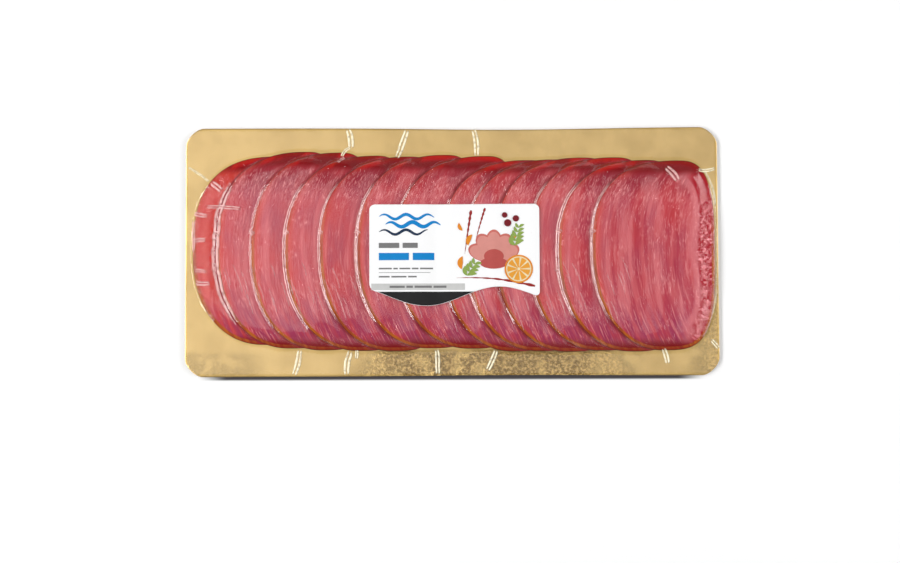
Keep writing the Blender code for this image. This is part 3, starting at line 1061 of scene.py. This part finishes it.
def ribbon(x, y, width, height, seed):
    """Rows of points across a line, and how much of each point is lip. The line
    swells and wobbles a little, and across it the height is two bells."""
    along = np.linspace(0, 1, len(x))[:, None]
    across = np.linspace(-1, 1, 13)[None, :]
    side_x, side_y, length = sideways(x, y)
    run = np.cumsum(length)[:, None]
    off = across * 0.8 * width * (0.75 + 0.25 * np.sin(math.pi * along))
    off = off + 0.13 * width * value_noise(run, 0 * run, 3 * MM, MM, seed)
    at_x = x[:, None] + off * side_x[:, None]
    at_y = y[:, None] + off * side_y[:, None]
    lips = np.exp(-(((np.abs(across) - 0.52) / 0.36) ** 4)) * (1 - across**12)
    fade = ramp(along, 0, 0.15) * ramp(-along, -1, -0.85)
    z = film_height(at_x, at_y) + 0.03 * MM + height * lips * fade
    return np.stack([at_x, at_y, z], axis=-1), lips * fade


def fold(start, end, bulge, width, height, seed):
    """A ribbon along an arch from start to end, all in millimetres."""
    along = np.linspace(0, 1, 25)
    line = np.subtract(end, start)
    normal = np.array([-line[1], line[0]]) / np.hypot(*line)
    arch = 4 * bulge * along * (1 - along)
    x = start[0] + along * line[0] + arch * normal[0]
    y = start[1] + along * line[1] + arch * normal[1]
    return ribbon(x * MM, y * MM, width * MM, height * MM, seed)


def named_folds(folds):
    """A ribbon for each fold of a list."""
    return [fold(*values, seed) for seed, values in enumerate(folds.values())]


# %% [markdown]
# Where the film steps down over a rim, a slice's rim shows as a pale line of
# painted highlight, wider on some slices than on others. Further down, long thin
# creases lean with the grain, their pale lips partly painted highlight too.

# %% Creases
# The width of the crease along a slice's left rim, by the slice's number; its
# pale lips are painted highlight.
RIM_CREASES = {1: 2.6, 2: 0.5, 3: 1.2, 4: 0.9, 5: 1.2, 6: 0.8, 8: 0.8, 10: 0.9, 11: 1.2, 12: 0.9}
CREASE_TOP = 36 * MM
CREASE_LOW = -37 * MM
CREASES_A_SLICE = 6
CREASE_LEAN = 0.36


def rim_creases():
    """A ribbon along the rim of each listed slice, read from its outline, and a
    short pinch across every rim."""
    ribbons = []
    for index in range(1, COUNT):
        rim_x, rim_y = slice_outline(index, np.linspace(1.5 * math.pi, 0.5 * math.pi, 721))
        x = np.interp(KNOT_HEIGHT, rim_y, rim_x) / MM
        y = KNOT_HEIGHT / MM
        ribbons.append(fold((x - 1.6, y + 0.8), (x + 1.4, y - 0.6), 0.4, 1.3, 0.22, index))
        if index in RIM_CREASES:
            y = np.linspace(CREASE_TOP, CREASE_LOW, 90)
            x = np.interp(y, rim_y, rim_x) - 0.4 * MM
            ribbons.append(ribbon(x, y, RIM_CREASES[index] * MM, 0.05 * MM, index))
    return ribbons


def fine_creases():
    """Thin creases over the lower half, all from one seeded generator."""
    chance = np.random.default_rng(51)
    creases = []
    for edge in EDGES[1:] / MM:
        for _ in range(CREASES_A_SLICE):
            x = edge + chance.uniform(1, 14)
            y = chance.uniform(-24, -3)
            reach = chance.uniform(6, 18)
            end = (x + CREASE_LEAN * reach, y - reach)
            creases.append(fold((x, y), end, 0.5, 0.3, 0.05, len(creases)))
    return creases


# %% Fold pieces


def fold_finish(name, colour, whiteness):
    """Pale and half clear on the lips of a fold, partly whitened film and partly
    painted highlight, and clear between them.
    """
    milky_highlight = Finish(name)
    where = milky_highlight.place()
    broken = milky_highlight.between(milky_highlight.noise(where, 600.0, 2), 0.30, 0.55, 0.5, 1.0)
    cover = milky_highlight.times(milky_highlight.between(milky_highlight.number("lip"), 0.1, 0.9), broken, whiteness)
    # The pale of the lips is partly whitened film and partly painted highlight.
    milky_highlight.set(Base_Color=colour, Roughness=0.25, Alpha=cover)
    return milky_highlight.material


def make_folds(name, ribbons, colour, whiteness):
    """All the folds of one colour in one piece."""
    points, faces = join_grids([grid for grid, _ in ribbons])
    piece = make_piece(name, points, faces, fold_finish(name, colour, whiteness))
    add_number(piece, "lip", np.concatenate([lips.ravel() for _, lips in ribbons]))
    return piece


# Pale lips, partly whitened film and partly painted highlight: cream over the gold, pink over the fish.
make_folds("film_folds", named_folds(BOARD_FOLDS), (1.0, 0.92, 0.66), 1.0)
make_folds("fish_folds", named_folds(FISH_FOLDS), (0.92, 0.52, 0.50), 0.85)
# Pale pink lines of painted highlight along the rims and over the lower half.
make_folds("rim_fold_highlights", rim_creases(), (1.0, 0.58, 0.56), 0.68)
make_folds("fine_folds", fine_creases(), (0.95, 0.55, 0.55), 0.5)

# %% [markdown]
# ## Label
#
# A glossy paper sticker with rounded corners and a lower edge cut as a wave. It
# bridges the small steps of the film like a stiff sheet, so its height is the
# film's, spread and smoothed over several millimetres.

# %% Label shape
LABEL_LEFT = -38.4 * MM
LABEL_RIGHT = 40.7 * MM
LABEL_TOP = 21.4 * MM
LABEL_CORNER = 2.6 * MM
LABEL_CORNER_STEPS = 8
LABEL_THICKNESS = 0.12 * MM
LABEL_LIFT = 0.10 * MM
PRINT_STEP = 0.035 * MM
LABEL_HEIGHTS = blur(spread(HUGGED, 3 * MM, np.maximum), 4 * MM) + LABEL_THICKNESS
WAVE_MIDDLE = -21.6 * MM
WAVE_HEIGHT = 4.4 * MM
WAVE_CREST = 22.1 * MM
WAVE_LENGTH = 68.6 * MM


def label_wave(x):
    """Lower edge: a cosine wave with its crest right of the middle."""
    return WAVE_MIDDLE + WAVE_HEIGHT * np.cos(2 * math.pi * (x - WAVE_CREST) / WAVE_LENGTH)


def label_ends(x):
    """What the rounded corners take off the height at the label's two ends."""
    half = (LABEL_RIGHT - LABEL_LEFT) / 2
    into = np.clip(np.abs(x - LABEL_LEFT - half) - (half - LABEL_CORNER), 0, LABEL_CORNER)
    return LABEL_CORNER - np.sqrt(LABEL_CORNER**2 - into**2)


def on_label(x, y, layer=0):
    """Points on the label, each layer of print a hair above the last."""
    height = read_field(LABEL_HEIGHTS, x, y) + LABEL_LIFT + layer * PRINT_STEP
    return np.stack([x, y, height], axis=-1)


def make_label(finish):
    """Columns of points from the wave up to the top edge, closer together at
    the rounded corners, on the sheet's two faces."""
    rows, columns = 90, 160
    half = (LABEL_RIGHT - LABEL_LEFT) / 2
    across = crowded_places(half, LABEL_CORNER, columns, LABEL_CORNER_STEPS)
    x = LABEL_LEFT + half + across[None, :] + np.zeros((rows, 1))
    cut = label_ends(x)
    bottom = label_wave(x) + cut
    y = bottom + np.linspace(0, 1, rows)[:, None] * (LABEL_TOP - cut - bottom)
    top = on_label(x, y).reshape(-1, 3)
    loop = border(rows, columns)
    low = top - (0, 0, LABEL_THICKNESS)
    count = len(top)
    faces = grid_faces(rows, columns)
    groups = [faces, faces[:, ::-1] + count, belt(loop, count + loop)]
    return make_piece("label_sheet", np.concatenate([top, low]), groups, finish, ["label"])


def paper_finish():
    """White, with a grain that hardly shows."""
    paper = Finish("label_paper")
    where = paper.place()
    grain = paper.noise(where, 900.0, 2)
    paper.set(Base_Color=paper.mix(grain, (0.96, 0.96, 0.96), (0.94, 0.94, 0.945)), Roughness=0.4)
    paper.set(Normal=paper.bump(grain, 0.05, 0.05 * MM))
    return paper.material


make_label(paper_finish())

# %% [markdown]
# The print lies on the paper in layers. Each colour is one thin mesh, put together
# from simple patches: bars where words would be, discs, wedges, leaves and strokes.
# The picture is a plain arrangement of citrus, herbs and pink petals.

# %% Print shapes
# Radians of a printed wave for each millimetre.
PRINT_WAVE = 0.62


def bar(left, right, low, high):
    """A rectangle, with a point about every two millimetres."""
    count = max(2, int((right - left) / 2) + 1)
    x = np.linspace(left, right, count)[None, :] + np.zeros((2, 1))
    return x, np.array([[low], [high]]) + np.zeros((1, count))


def turned(x, y, across, up, turn):
    """Points given across and up, turned by an angle and moved to x and y."""
    turned_x = across * math.cos(turn) - up * math.sin(turn)
    turned_y = across * math.sin(turn) + up * math.cos(turn)
    return x + turned_x, y + turned_y


def disc(x, y, radius, squash=1.0, turn=0.0, start=0.0, stop=2 * math.pi, inner=0.0):
    """An ellipse, or with a start and stop a wedge, or with an inner a ring."""
    angle = np.linspace(start, stop, 41)[None, :]
    reach = radius * np.linspace(inner, 1, 5)[:, None]
    return turned(x, y, reach * np.cos(angle), squash * reach * np.sin(angle), turn)


def stroke(x, y, width):
    """A ribbon along points, as wide at each as told."""
    side_x, side_y, _ = sideways(x, y)
    side = np.array([[-0.5], [0.0], [0.5]])
    return x + side * width * side_x, y + side * width * side_y


def leaf(x, y, length, turn, bend=0.15):
    """A stroke that widens to its middle and bends a little."""
    t = np.linspace(0, 1, 15)
    rib_x, rib_y = turned(x, y, length * t, length * bend * np.sin(math.pi * t), turn)
    return stroke(rib_x, rib_y, 0.42 * length * np.abs(np.sin(math.pi * t)) ** 0.8 + 0.02)


def swash(start, end, rise, width):
    """A brush stroke from start to end that arches by rise and thins out."""
    t = np.linspace(0, 1, 41)
    x = start[0] + (end[0] - start[0]) * t
    y = start[1] + (end[1] - start[1]) * t + rise * np.sin(math.pi * t)
    return stroke(x, y, width * (1 - t) ** 0.7 * (0.55 + 0.45 * np.sin(23 * t) ** 2) + 0.05)


def words(left, lengths, middle, height, gap):
    """A row of bars in place of words."""
    patches = []
    for length in lengths:
        patches.append(bar(left, left + length, middle - height / 2, middle + height / 2))
        left += length + gap
    return patches


def wave_line(left, right, middle, height, width):
    """A ribbon that follows a sine wave and is rounded off at its ends."""
    t = np.linspace(0, 1, 49)
    x = left + (right - left) * t
    y = middle + height * np.sin((x - left) * PRINT_WAVE)
    return stroke(x, y, width * np.abs(np.sin(math.pi * t)) ** 0.5)


def make_print(name, colour, layer, patches):
    """One colour of print: patches in millimetres, laid on the label."""
    finish = Finish(name)
    where = finish.place()
    shade = tuple(0.86 * part for part in colour)
    finish.set(Base_Color=finish.mix(finish.noise(where, 420.0, 2), colour, shade))
    finish.set(Roughness=0.45, Specular_IOR_Level=0.25)
    points, faces = join_grids([on_label(x * MM, y * MM, layer) for x, y in patches])
    return make_piece(name, points, faces, finish.material)


# %% Printed words and bands


def under_band(top):
    """The part of the label's belly below a level line: the trough of its wave,
    out to where the wave crosses the line."""
    turn = math.acos((top * MM - WAVE_MIDDLE) / WAVE_HEIGHT)
    half = (WAVE_LENGTH / 2 - WAVE_LENGTH * turn / (2 * math.pi)) / MM
    middle = (WAVE_CREST - WAVE_LENGTH / 2) / MM
    x = np.linspace(middle - half, middle + half, 61)[None, :] + np.zeros((4, 1))
    low = label_wave(x * MM) / MM + 0.15
    return x, low + np.linspace(0, 1, 4)[:, None] * (top - low)


make_print("print_black", (0.012, 0.012, 0.013), 1, [under_band(-19.4)])
make_print("print_pale_grey", (0.62, 0.62, 0.61), 1, [bar(-37.5, 6.0, -18.6, -15.6)])
make_print("print_grey", (0.20, 0.20, 0.20), 2, [
    *words(-34, (9.5, 7.0), 2.2, 2.4, 1.6),
    *words(-34, (6, 2, 5, 3, 6), -8.6, 0.7, 0.8),
    *words(-34, (5, 7, 4), -12.4, 0.7, 0.8),
    bar(-34, -10, -10.6, -10.4),
    *words(-29, (7, 3, 8, 6), -17.1, 1.0, 0.8),
])
make_print("print_blue", (0.0, 0.24, 0.62), 2, [
    *words(-34, (14, 10), -3.0, 3.4, 1.8),
    wave_line(-34, -8, 15.6, 1.1, 1.5),
    wave_line(-31, -5, 12.0, 1.1, 1.9),
])
make_print("print_navy", (0.010, 0.030, 0.075), 2, [wave_line(-34, -11, 8.4, 1.1, 1.3)])

# %% Printed picture
CITRUS = (31.0, -9.0, 6.6)
WEDGES = 9
WEDGE_GAP = 0.09
FLOWER_X = 19.5
PETAL_TURNS = np.radians((20, 55, 90, 125, 160))


def wedges():
    """The flesh of the citrus: equal wedges with a gap on both sides of each."""
    x, y, radius = CITRUS
    step = 2 * math.pi / WEDGES
    patches = []
    for start in step * np.arange(WEDGES):
        patches.append(disc(x, y, 0.80 * radius, 1.0, 0.0, start + WEDGE_GAP, start + step - WEDGE_GAP, 0.12))
    return patches


def petals(reach, shift):
    """Overlapping ellipses that open like a fan."""
    patches = []
    for turn in PETAL_TURNS:
        x = FLOWER_X + 6.2 * math.cos(turn)
        y = -3.5 + 6.6 * math.sin(turn) + shift
        patches.append(disc(x, y, reach, 0.62, turn))
    return patches


def sprig(x, y, lean, count):
    """Leaves in pairs up a stem, shorter towards its tip."""
    leaves = []
    for k in range(count):
        stem_x = x + 2.1 * k * math.cos(lean)
        stem_y = y + 2.1 * k * math.sin(lean)
        leaves += [leaf(stem_x, stem_y, 4.6 - 0.45 * k, lean + way * 0.8) for way in (1, -1)]
    return leaves


make_print("print_sauce", (0.33, 0.020, 0.018), 1, [
    swash((38.5, -17.0), (2.0, -13.0), 1.4, 1.5),
    swash((9.0, 18.5), (6.0, -2.0), 0.6, 1.5),
    swash((15.5, 19.5), (11.0, 4.0), 0.5, 1.2),
])
make_print("print_pink_edge", (0.62, 0.16, 0.13), 2, petals(6.3, 0.0))
make_print("print_pink", (0.72, 0.29, 0.25), 3, petals(5.5, -0.3))
make_print("print_rose", (0.50, 0.085, 0.075), 4, [
    disc(FLOWER_X, -3.0, 4.6, 0.7),
    disc(FLOWER_X, -6.2, 6.4, 0.42),
])
make_print("print_orange", (0.80, 0.27, 0.020), 4, [
    disc(*CITRUS),
    leaf(4.5, -9.0, 6.0, 1.5),
    leaf(7.5, 2.0, 5.5, 1.2),
    leaf(5.0, 9.0, 4.0, 2.0),
    leaf(27.0, 3.5, 4.0, 0.7),
])
make_print("print_cream", (0.88, 0.76, 0.48), 5, [disc(CITRUS[0], CITRUS[1], CITRUS[2] * 0.88)])
make_print("print_citrus", (0.84, 0.36, 0.040), 6, wedges())
make_print("print_green", (0.28, 0.40, 0.085), 5, sprig(7.0, -12.0, 0.95, 4) + sprig(29.5, 2.0, 1.35, 5))
make_print("print_berry", (0.19, 0.008, 0.015), 6, [
    disc(26.0, 12.5, 1.7),
    disc(29.8, 14.6, 1.5),
    disc(24.6, 16.2, 1.3),
])

# %% [markdown]
# ## Room and light
#
# The studio is a pale floor, four soft lamps and plain walls. Two lamps overhead
# form one wide but shallow panel: surfaces that face up mirror it and turn pale,
# and the slopes along the two long sides of the stack look past it and stay deep
# red. A long lamp at the left draws pale lines along the rims, and a low one at
# the right lights the last slice's end. The walls are twice as bright as the
# ceiling, for the steep slopes to mirror.
# On the floor, a thin dark line just under the near edge stands for the shade
# where the board's edge is lifted a little.

# %% Floor
FLOOR_REACH = 3.0
FLOOR_DROP = 0.1 * MM


def make_floor():
    """A wide square, with the strip of shade made from soft ranges of X and Y."""
    floor = Finish("floor")
    where = floor.place()
    tone = floor.mix(floor.noise(where, 3.0), (0.985, 0.985, 0.985), (0.97, 0.97, 0.97))
    place = floor.add("SeparateXYZ", {0: where}).outputs
    edge = -BOARD_WIDTH / 2
    shade = floor.times(
        floor.between(place["Y"], edge - 2.2 * MM, edge - 1.0 * MM),
        floor.between(floor.away(place["X"]), 120 * MM, 105 * MM),
        floor.between(place["Y"], 0.0, edge + 5 * MM),
    )
    floor.set(Base_Color=floor.mix(shade, tone, (0.05, 0.045, 0.05)), Roughness=0.6)
    mesh = bpy.data.meshes.new("floor")
    corners = [(x * FLOOR_REACH, y * FLOOR_REACH, 0) for x, y in ((-1, -1), (1, -1), (1, 1), (-1, 1))]
    mesh.from_pydata(corners, [], [(0, 1, 2, 3)])
    mesh.materials.append(floor.material)
    made = bpy.data.objects.new("floor", mesh)
    made.location.z = -FLOOR_DROP
    bpy.context.scene.collection.objects.link(made)


make_floor()
print("floor", 2 * FLOOR_REACH, "m wide")

# %% Lamps
ALONG_X = Vector((1, 0, 0))
ALONG_Y = Vector((0, 1, 0))
LAMPS = {
    "overhead": ((-0.08, 0.10, 1.35), ALONG_X, (1.46, 0.78), 0.79),
    "overhead left": ((-0.55, 0.10, 1.40), ALONG_X, (0.9, 0.78), 0.46),
    "left": ((-1.90, 0.0, 1.10), ALONG_Y, (2.8, 0.64), 10.0),
    "right": ((1.40, 0.05, 0.45), ALONG_Y, (1.7, 0.85), 4.5),
}
WALL_BRIGHTNESS = 0.32
WALL_TOP = 0.34
CEILING_BRIGHTNESS = 0.16
CEILING_START = 0.57


def make_lamps():
    """Area lamps that face the pack, with their first side along a given axis.
    The power is pi times the area times the brightness."""
    for name, (place, along, size, brightness) in LAMPS.items():
        lamp = bpy.data.lights.new(name, "AREA")
        lamp.shape = "RECTANGLE"
        lamp.size, lamp.size_y = size
        lamp.energy = math.pi * size[0] * size[1] * brightness
        made = bpy.data.objects.new(name, lamp)
        back = Vector(place).normalized()
        upward = back.cross(along).normalized()
        turn = Matrix((upward.cross(back), upward, back)).transposed()
        made.matrix_world = Matrix.Translation(place) @ turn.to_4x4()
        bpy.context.scene.collection.objects.link(made)


def make_walls():
    """Light from all round, by how steeply one looks up: a wall's brightness up
    to WALL_TOP, the ceiling's from CEILING_START, and a soft change between."""
    world = bpy.data.worlds.new("studio")
    world.use_nodes = True
    room = Finish("room", world.node_tree)
    rise = room.add("SeparateXYZ", {0: room.add("TexCoord").outputs["Generated"]}).outputs["Z"]
    walls = world.node_tree.nodes["Background"].inputs
    room.feed(walls["Color"], (1.0, 1.0, 1.0, 1.0))
    strength = room.between(rise, WALL_TOP, CEILING_START, WALL_BRIGHTNESS, CEILING_BRIGHTNESS)
    room.feed(walls["Strength"], strength)
    bpy.context.scene.world = world


make_lamps()
make_walls()
bpy.context.scene.view_settings.view_transform = "Standard"
print(len(LAMPS), "lamps")
